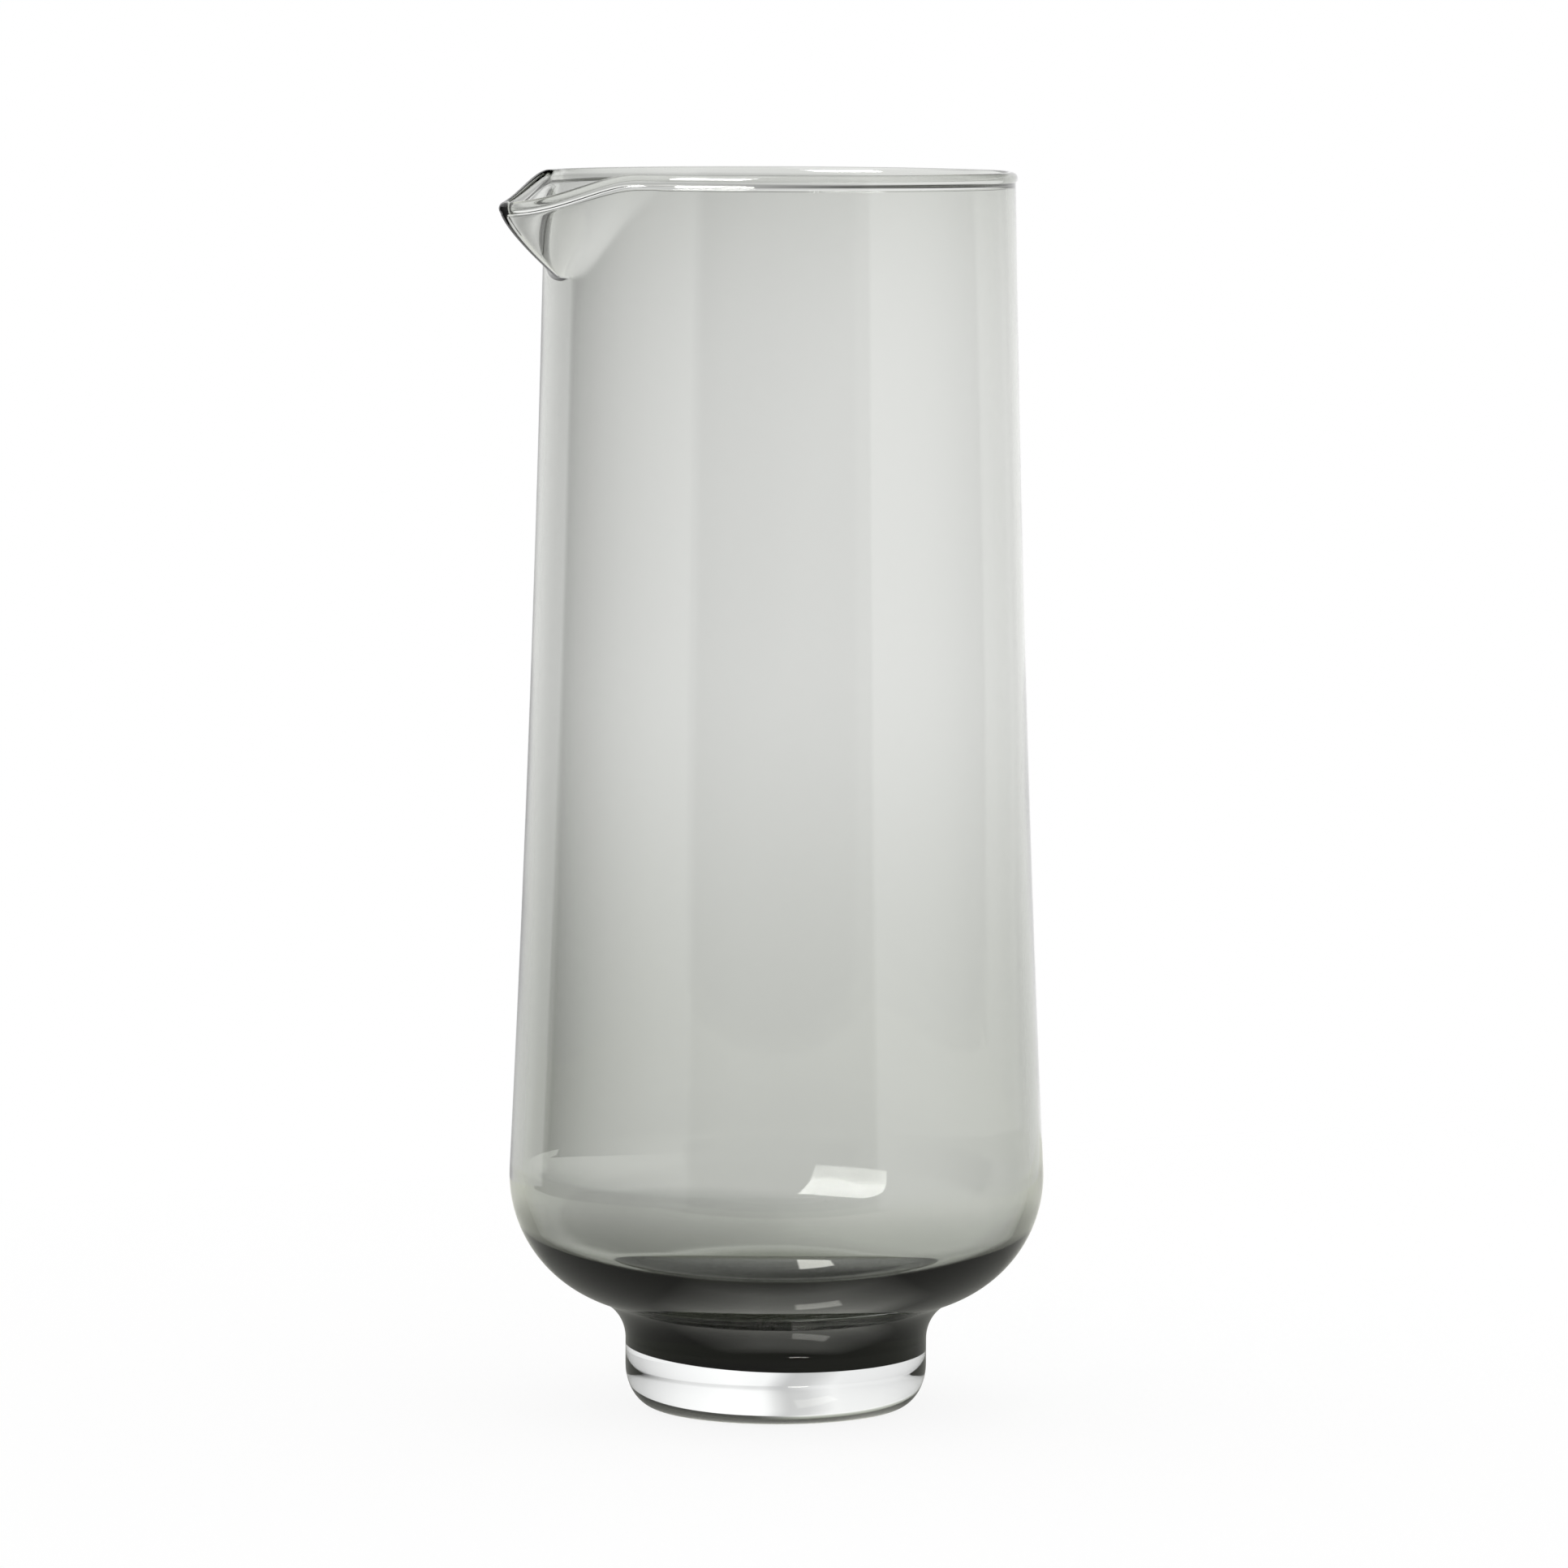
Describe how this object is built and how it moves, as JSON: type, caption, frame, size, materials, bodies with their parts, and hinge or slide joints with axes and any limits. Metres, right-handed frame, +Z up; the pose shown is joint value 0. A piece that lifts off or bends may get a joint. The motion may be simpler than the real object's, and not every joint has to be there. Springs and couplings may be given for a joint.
{
  "type": "carafe",
  "caption": "Footed water carafe in smoked glass: tall tapered body, rounded bowl, pulled pouring lip and a short solid foot that ends in clear glass.",
  "frame": {"origin": "on the body's axis, at the foot's flat underside, where the carafe stands on the table", "axes": "+Z up along the body's axis to the rim; -X the way the pouring lip points; the XZ plane is the plane of symmetry"},
  "size_m": [0.112, 0.106, 0.245],
  "materials": {
    "smoked_glass": "smooth fire-polished, smoked grey, see-through",
    "clear_glass": "smooth fire-polished, colourless, see-through"
  },
  "bodies": {
    "root": {"smoked_bowl": "smoked_glass", "smoked_stem": "smoked_glass", "clear_foot": "clear_glass"}
  },
  "joints": []
}
